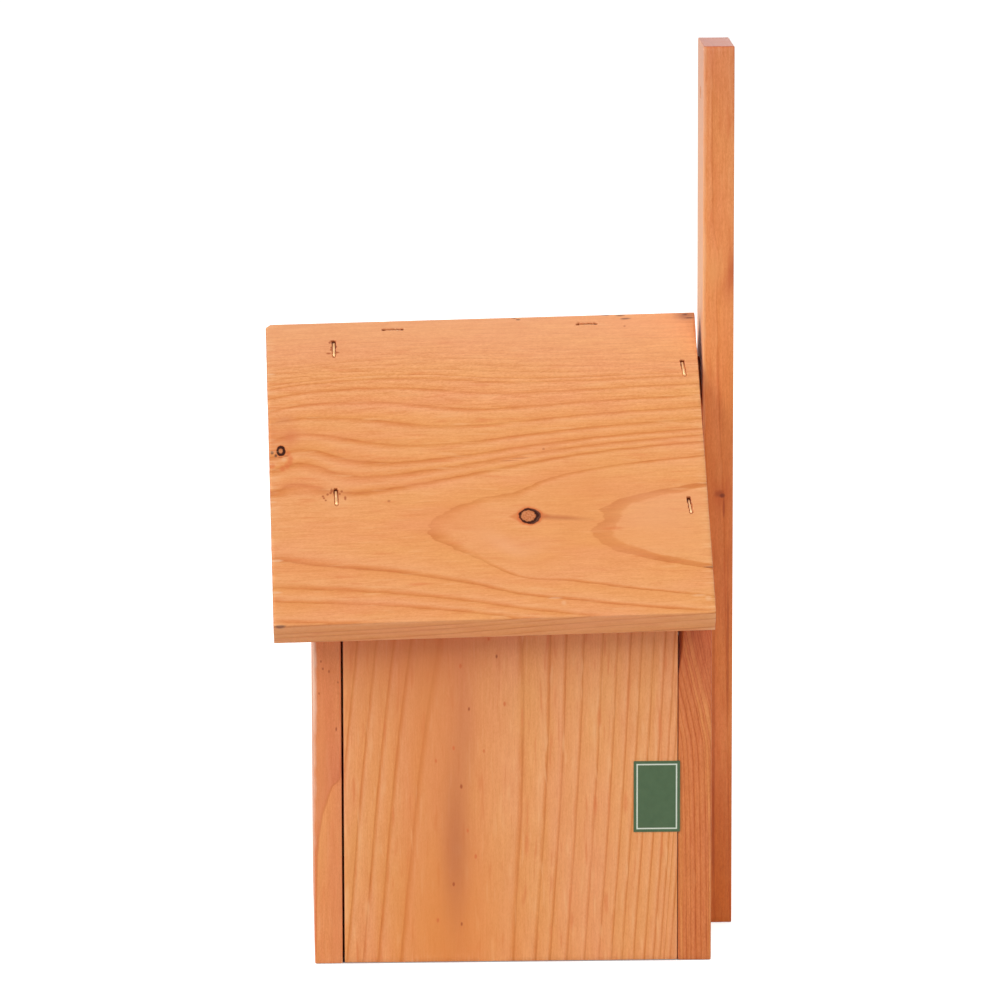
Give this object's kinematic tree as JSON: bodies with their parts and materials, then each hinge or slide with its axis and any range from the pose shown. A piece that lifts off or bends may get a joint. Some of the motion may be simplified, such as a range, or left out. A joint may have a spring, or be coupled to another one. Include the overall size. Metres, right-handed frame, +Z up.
{
  "type": "bird nest box",
  "caption": "Wooden bird nest box with a gabled roof, round entrance in the front, a side board that swings out on pivot nails, and a tall batten behind for hanging it up.",
  "frame": {"origin": "centre of the box's base, on the underside of the floor board", "axes": "+Z up, -Y out of the front board with the entrance, +Y towards the wall or tree that the batten hangs on, +X out of the door"},
  "size_m": [0.282, 0.2555, 0.487],
  "materials": {
    "wall_pine": "sawn and planed bare pine, matt",
    "roof_pine": "planed bare pine with open rings, matt",
    "batten_pine": "planed bare pine, matt",
    "nail_steel": "bright steel wire nail",
    "screw_zinc": "yellow zinc",
    "staple_wire": "gold-coloured lacquered steel wire",
    "label_green": "plain green printed sticker, satin"
  },
  "bodies": {
    "box": {"front_board": "wall_pine", "back_board": "wall_pine", "fixed_side": "wall_pine", "floor_board": "wall_pine", "door_side_roof": "roof_pine", "fixed_side_roof": "roof_pine", "hanging_batten": "batten_pine", "front_pivot_nail": "nail_steel", "back_pivot_nail": "nail_steel", "batten_screws": "screw_zinc", "door_side_roof_staples": "staple_wire", "fixed_side_roof_staples": "staple_wire", "ridge_staples": "staple_wire", "front_staples": "staple_wire", "back_staples": "staple_wire", "side_staples": "staple_wire"},
    "door": {"side_door": "wall_pine", "label": "label_green"}
  },
  "joints": [
    {"name": "door_pivot", "type": "hinge", "parent": "box", "child": "door", "pos_m": [0.1025, 0, 0.179], "axis": [0, -1, 0], "range_deg": [0, 72]}
  ]
}
